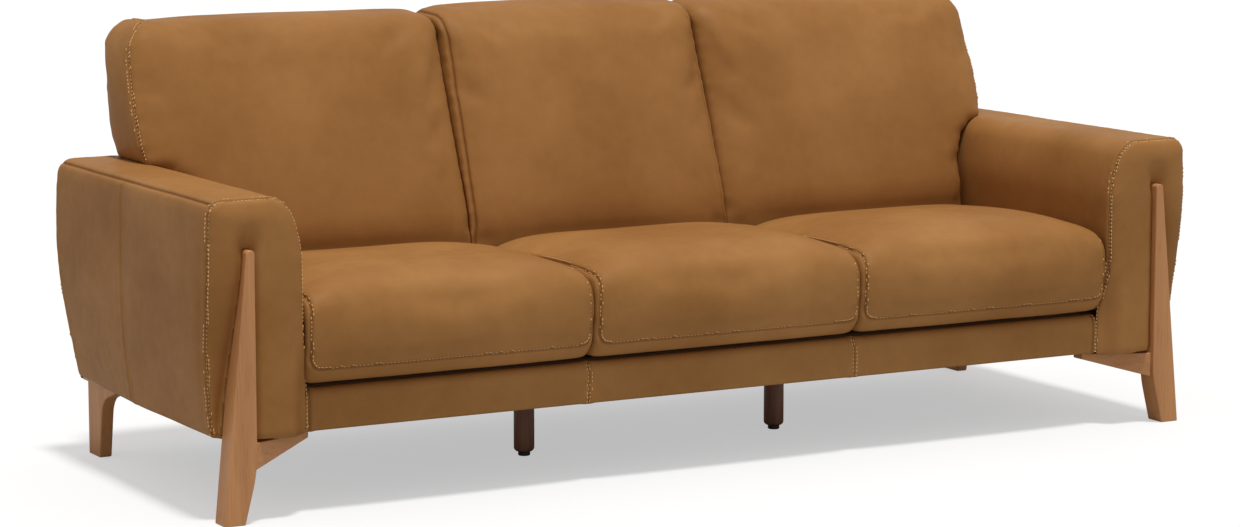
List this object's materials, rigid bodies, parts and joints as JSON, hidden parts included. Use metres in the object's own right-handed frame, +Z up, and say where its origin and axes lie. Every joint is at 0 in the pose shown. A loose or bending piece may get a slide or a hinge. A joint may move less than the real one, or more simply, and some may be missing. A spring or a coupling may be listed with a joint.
{
  "type": "three-seat sofa",
  "caption": "Three-seat leather sofa with padded square arms, loose seat cushions, attached back cushions and splayed wooden blade legs.",
  "frame": {"origin": "on the floor, under the middle of the sofa's width and depth", "axes": "+X to the right as seen from the front, along the sofa's width; +Y to the back; +Z up. Left and right in names are as seen from the front."},
  "size_m": [2.1966, 0.8306, 0.866],
  "materials": {
    "tan_leather": "satin",
    "oiled_beech": "satin",
    "walnut_stained_wood": "satin",
    "frame_timber": "matte",
    "webbing": "matte",
    "deck_cloth": "matte",
    "black_cloth": "matte",
    "steel": "satin",
    "black_plastic": "satin"
  },
  "bodies": {
    "frame": {"arm_front_panel_left": "tan_leather", "arm_front_panel_right": "tan_leather", "arm_front_post_left": "frame_timber", "arm_front_post_right": "frame_timber", "arm_inner_panel_left": "tan_leather", "arm_inner_panel_right": "tan_leather", "arm_outer_panel_left": "tan_leather", "arm_outer_panel_right": "tan_leather", "arm_rear_panel_left": "tan_leather", "arm_rear_panel_right": "tan_leather", "arm_rear_post_left": "frame_timber", "arm_rear_post_right": "frame_timber", "arm_top_rail_left": "frame_timber", "arm_top_rail_right": "frame_timber", "back_cushion_left": "tan_leather", "back_cushion_middle": "tan_leather", "back_cushion_right": "tan_leather", "back_top_rail": "frame_timber", "back_upright_1": "frame_timber", "back_upright_2": "frame_timber", "back_upright_3": "frame_timber", "back_upright_4": "frame_timber", "back_webbing": "webbing", "centre_leg_bolt_left": "steel", "centre_leg_bolt_right": "steel", "centre_leg_glide_left": "black_plastic", "centre_leg_glide_right": "black_plastic", "centre_leg_left": "walnut_stained_wood", "centre_leg_right": "walnut_stained_wood", "corner_block_front_left": "frame_timber", "corner_block_front_right": "frame_timber", "corner_block_rear_left": "frame_timber", "corner_block_rear_right": "frame_timber", "cross_rail_left": "frame_timber", "cross_rail_right": "frame_timber", "dust_cover": "black_cloth", "front_bracket_left": "oiled_beech", "front_bracket_right": "oiled_beech", "front_leg_bolt_left": "steel", "front_leg_bolt_right": "steel", "front_leg_left": "oiled_beech", "front_leg_right": "oiled_beech", "front_rail": "frame_timber", "front_rail_cover": "tan_leather", "outside_back": "tan_leather", "rear_leg_bolt_left": "steel", "rear_leg_bolt_right": "steel", "rear_leg_left": "oiled_beech", "rear_leg_right": "oiled_beech", "rear_rail": "frame_timber", "seat_deck": "deck_cloth", "seat_webbing_left": "webbing", "seat_webbing_middle": "webbing", "seat_webbing_right": "webbing", "side_rail_left": "frame_timber", "side_rail_right": "frame_timber"},
    "cushion_left": {"seat_cushion_left": "tan_leather"},
    "cushion_middle": {"seat_cushion_middle": "tan_leather"},
    "cushion_right": {"seat_cushion_right": "tan_leather"}
  },
  "joints": [
    {"name": "lift_cushion_left", "type": "slide", "parent": "frame", "child": "cushion_left", "axis": [0, -0.7071, 0.7071], "range_m": [0, 0.85]},
    {"name": "lift_cushion_middle", "type": "slide", "parent": "frame", "child": "cushion_middle", "axis": [0, -0.7071, 0.7071], "range_m": [0, 0.85]},
    {"name": "lift_cushion_right", "type": "slide", "parent": "frame", "child": "cushion_right", "axis": [0, -0.7071, 0.7071], "range_m": [0, 0.85]}
  ]
}
